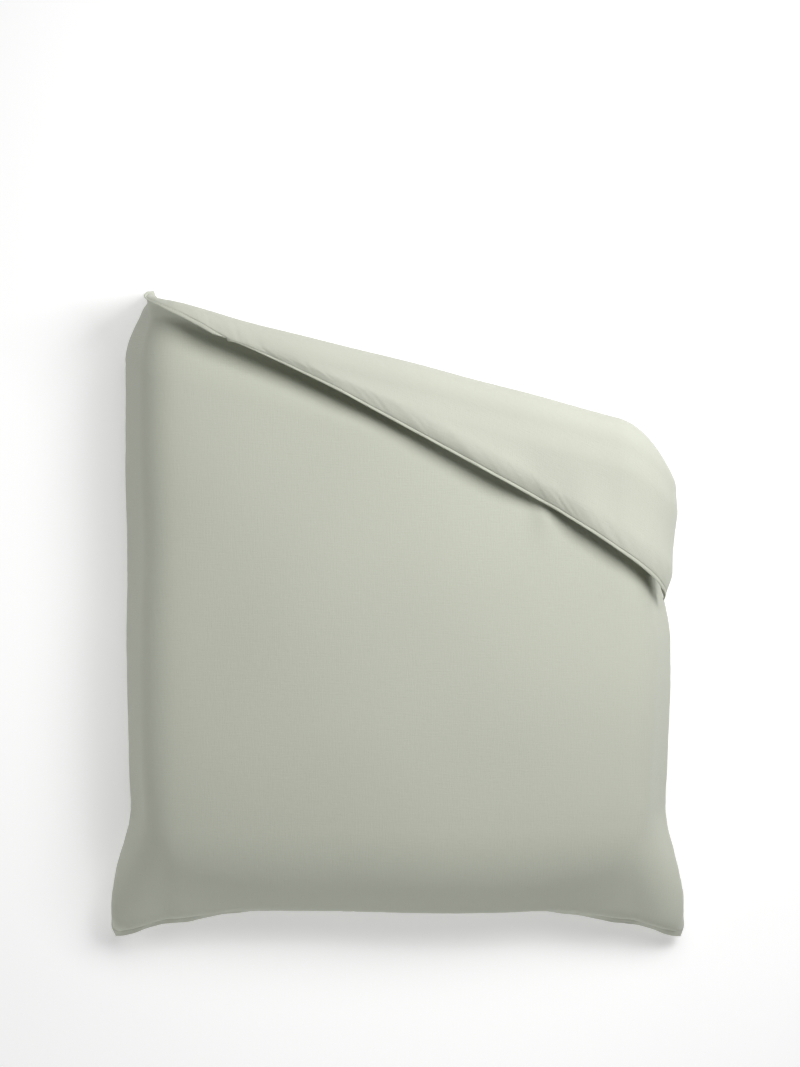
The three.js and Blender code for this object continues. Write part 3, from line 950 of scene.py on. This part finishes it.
def turned_button():
    """One button on the Z axis, its back at z = 0."""
    rim = [(0, 0.0003), (0.004, 0.0002), (0.0075, 0.0005), (0.0086, 0.0011), (0.009, 0.0018),
           (0.0088, 0.0026), (0.0080, 0.0032), (0.0068, 0.0031), (0.0060, 0.0024),
           (0.0050, 0.0019), (0, 0.0018)]
    sides = 48
    shape = bmesh.new()
    rings = []
    for r, z in rim:
        if r == 0:
            rings.append([shape.verts.new((0, 0, z))])
        else:
            turns = [2 * math.pi * k / sides for k in range(sides)]
            rings.append([shape.verts.new((r * math.cos(t), r * math.sin(t), z)) for t in turns])
    for low, high in zip(rings, rings[1:]):
        for k in range(sides):
            n = (k + 1) % sides
            if len(low) == 1:
                shape.faces.new((low[0], high[n], high[k]))
            elif len(high) == 1:
                shape.faces.new((low[k], low[n], high[0]))
            else:
                shape.faces.new((low[k], low[n], high[n], high[k]))
    mesh = bpy.data.meshes.new("turned_button")
    bmesh.ops.recalc_face_normals(shape, faces=shape.faces)
    shape.to_mesh(mesh)
    shape.free()
    blank = bpy.data.objects.new("turned_button", mesh)
    bpy.context.scene.collection.objects.link(blank)
    drills = bmesh.new()
    for sx in (-1, 1):
        for sy in (-1, 1):
            made = bmesh.ops.create_cone(drills, cap_ends=True, segments=16, radius1=hole_radius,
                                         radius2=hole_radius, depth=0.02)
            bmesh.ops.translate(drills, verts=made["verts"], vec=(sx * hole_spread, sy * hole_spread, 0))
    drill_mesh = bpy.data.meshes.new("drills")
    drills.to_mesh(drill_mesh)
    drills.free()
    drill = bpy.data.objects.new("drills", drill_mesh)
    bpy.context.scene.collection.objects.link(drill)
    cut = blank.modifiers.new("holes", "BOOLEAN")
    cut.object = drill
    cut.operation = "DIFFERENCE"
    cut.solver = "EXACT"
    made = bpy.data.meshes.new_from_object(blank.evaluated_get(bpy.context.evaluated_depsgraph_get()))
    bpy.data.objects.remove(blank)
    bpy.data.objects.remove(drill)
    made.name = "turned_button"
    return made


def frame_at(u, v):
    """Where the cloth is at a point, as a matrix with z from the face to the back."""
    origin = lie(u, v, 0.0)
    across = lie(u + 0.002, v, 0.0) - lie(u - 0.002, v, 0.0)
    down = lie(u, v + 0.002, 0.0) - lie(u, v - 0.002, 0.0)
    x = Vector(across).normalized()
    y = Vector(down)
    z = x.cross(y).normalized()
    y = z.cross(x)
    turn = Matrix((x, y, z)).transposed().to_4x4()
    return Matrix.Translation(Vector(origin)) @ turn


def swept_thread(name, lines, radius, sides=7):
    """Threads of one radius along lines of points, in one closed piece each, as one mesh."""
    points, faces = [], []
    for line in lines:
        line = [Vector(p) for p in line]
        start = len(points)
        for k, p in enumerate(line):
            ahead = (line[min(k + 1, len(line) - 1)] - line[max(k - 1, 0)]).normalized()
            aside = ahead.orthogonal() if k == 0 else aside - ahead * aside.dot(ahead)
            aside = aside.normalized()
            up = ahead.cross(aside)
            for side in range(sides):
                turn = 2 * math.pi * side / sides
                points.append(p + (aside * math.cos(turn) + up * math.sin(turn)) * radius)
        for k in range(len(line) - 1):
            for side in range(sides):
                a = start + k * sides + side
                b = start + k * sides + (side + 1) % sides
                faces.append((a, b, b + sides, a + sides))
        faces.append(tuple(start + side for side in reversed(range(sides))))
        last = start + (len(line) - 1) * sides
        faces.append(tuple(last + side for side in range(sides)))
    mesh = bpy.data.meshes.new(name)
    mesh.from_pydata([tuple(p) for p in points], [], faces)
    mesh.shade_smooth()
    mesh.materials.append(sewing_thread)
    piece = bpy.data.objects.new(name, mesh)
    bpy.context.scene.collection.objects.link(piece)
    return piece


thread_thick = 0.00032
turned = turned_button()
for k, place in enumerate(button_places, 1):
    stands = frame_at(place, hem_middle)
    mesh = turned.copy()
    mesh.transform(stands @ Matrix.Translation((0, 0, button_back)) @ Matrix.Rotation(0.5 * k, 4, "Z"))
    mesh.materials.clear()
    mesh.materials.append(button_resin)
    button = bpy.data.objects.new(f"resin_button_{k}", mesh)
    bpy.context.scene.collection.objects.link(button)
    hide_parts(f"button_{k}")
    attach(button, "root")

    turn = Matrix.Rotation(0.5 * k, 4, "Z")
    face_level = button_back + 0.0018 + thread_thick
    bars = []
    for sx in (-1, 1):
        for nudge in (-0.00035, 0.00035):
            x = sx * hole_spread + nudge
            climb = [(x * 0.35, -0.0004, 0.0002), (x, -hole_spread, button_back + 0.0006),
                     (x, -hole_spread, face_level - 0.0003), (x, -hole_spread * 0.7, face_level),
                     (x, 0, face_level + 0.0001), (x, hole_spread * 0.7, face_level),
                     (x, hole_spread, face_level - 0.0003), (x, hole_spread, button_back + 0.0006),
                     (x * 0.35, 0.0004, 0.0002)]
            bars.append([stands @ turn @ Vector(p) for p in climb])
    wound = []
    for step in range(61):
        angle = 2 * math.pi * step / 12
        rise = 0.0004 + (button_back - 0.0008) * step / 60
        wound.append(stands @ Vector((0.0008 * math.cos(angle), 0.0008 * math.sin(angle), rise)))
    sewn = swept_thread(f"button_sewing_{k}", bars + [wound], thread_thick)
    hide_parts(f"button_thread_{k}")
    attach(sewn, "root")
bpy.data.meshes.remove(turned)
bpy.data.objects.remove(single_stitch)

# The care label: a blank loop of white satin tape on the back, sewn in by the left seam near the foot.
def satin_material():
    material = bpy.data.materials.new("label_satin")
    material.use_nodes = True
    nodes = material.node_tree.nodes
    links = material.node_tree.links
    shader = nodes["Principled BSDF"]
    shader.inputs["Sheen Weight"].default_value = 0.3
    flat = nodes.new("ShaderNodeUVMap")
    flat.uv_map = "cloth"
    weave = nodes.new("ShaderNodeTexWave")
    weave.inputs["Scale"].default_value = 600
    weave.inputs["Distortion"].default_value = 0.8
    links.new(flat.outputs["UV"], weave.inputs["Vector"])
    tint = nodes.new("ShaderNodeValToRGB")
    tint.color_ramp.elements[0].color = (0.82, 0.81, 0.78, 1)
    tint.color_ramp.elements[1].color = (0.90, 0.89, 0.87, 1)
    links.new(weave.outputs["Fac"], tint.inputs["Fac"])
    links.new(tint.outputs["Color"], shader.inputs["Base Color"])
    gloss = nodes.new("ShaderNodeMapRange")
    gloss.inputs["To Min"].default_value = 0.35
    gloss.inputs["To Max"].default_value = 0.5
    links.new(weave.outputs["Fac"], gloss.inputs["Value"])
    links.new(gloss.outputs["Result"], shader.inputs["Roughness"])
    return material


label_satin = satin_material()
label_gap = 0.0012
label_thick = 0.0004
label_columns = np.linspace(-0.9885, -0.9480, 28)
label_rows = np.linspace(1.894, 1.924, 22)


def label_height(u, v):
    lifted = 0.004 * smooth(-0.985, -0.950, u) ** 2
    return -(cover_half(u, v, -1) + label_gap + pucker_room * 0.6 + lifted)


label = slab(
    "care_label_tape", label_columns, label_rows,
    label_height,
    lambda u, v: label_height(u, v) - label_thick,
    label_satin,
)
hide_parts("care_label")
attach(label, "root")

# A plain pale floor with a faint glow of its own, a soft key light to the right of the bed's head, a
# fill behind the head, two low fills at the left and the foot, and a very weak light all round.
floor_mesh = bpy.data.meshes.new("floor")
floor_gap = 0.012
floor_level = cad_low.z - floor_gap
reach = 60.0
floor_corners = [(-reach, -reach), (reach, -reach), (reach, reach), (-reach, reach)]
floor_mesh.from_pydata(
    [(x, y, floor_level) for x, y in floor_corners],
    [],
    [(0, 1, 2, 3)],
)
floor = bpy.data.objects.new("floor", floor_mesh)
bpy.context.scene.collection.objects.link(floor)
floor_paint = bpy.data.materials.new("floor_paint")
floor_paint.use_nodes = True
paint = floor_paint.node_tree.nodes["Principled BSDF"]
paint.inputs["Base Color"].default_value = (0.82, 0.82, 0.82, 1)
paint.inputs["Roughness"].default_value = 1
paint.inputs["Emission Color"].default_value = (1, 1, 1, 1)
paint.inputs["Emission Strength"].default_value = 0.35
floor_mesh.materials.append(floor_paint)

world = bpy.data.worlds.new("studio")
world.use_nodes = True
world.node_tree.nodes["Background"].inputs["Color"].default_value = (1, 1, 1, 1)
world.node_tree.nodes["Background"].inputs["Strength"].default_value = 0.04
bpy.context.scene.world = world


def soft_light(name, turn, rise, watts):
    """A square soft light that looks at the duvet's middle from a bearing and a height, in degrees."""
    distance = 4.0
    turn, rise = math.radians(turn), math.radians(rise)
    data = bpy.data.lights.new(name, "AREA")
    data.size = 1.9
    data.energy = watts
    light = bpy.data.objects.new(name, data)
    bpy.context.scene.collection.objects.link(light)
    light.location = (
        distance * math.cos(rise) * math.cos(turn),
        distance * math.cos(rise) * math.sin(turn),
        distance * math.sin(rise),
    )
    light.rotation_euler = (-light.location).to_track_quat("-Z", "Y").to_euler()


soft_light("key", turn=38, rise=50, watts=129)
soft_light("head_fill", turn=85, rise=52, watts=48)
soft_light("left_fill", turn=185, rise=14, watts=30)
soft_light("foot_fill", turn=268, rise=14, watts=36)

camera_data = bpy.data.cameras.new("camera")
camera_data.sensor_fit = "HORIZONTAL"
camera_data.sensor_width = 36
view_width = 2.388
camera_height = 8.0
camera_data.lens = camera_data.sensor_width * camera_height / view_width
camera = bpy.data.objects.new("camera", camera_data)
bpy.context.scene.collection.objects.link(camera)
camera.location = (0.006, 0.258, camera_height)
bpy.context.scene.camera = camera
bpy.context.scene.view_settings.view_transform = "Standard"
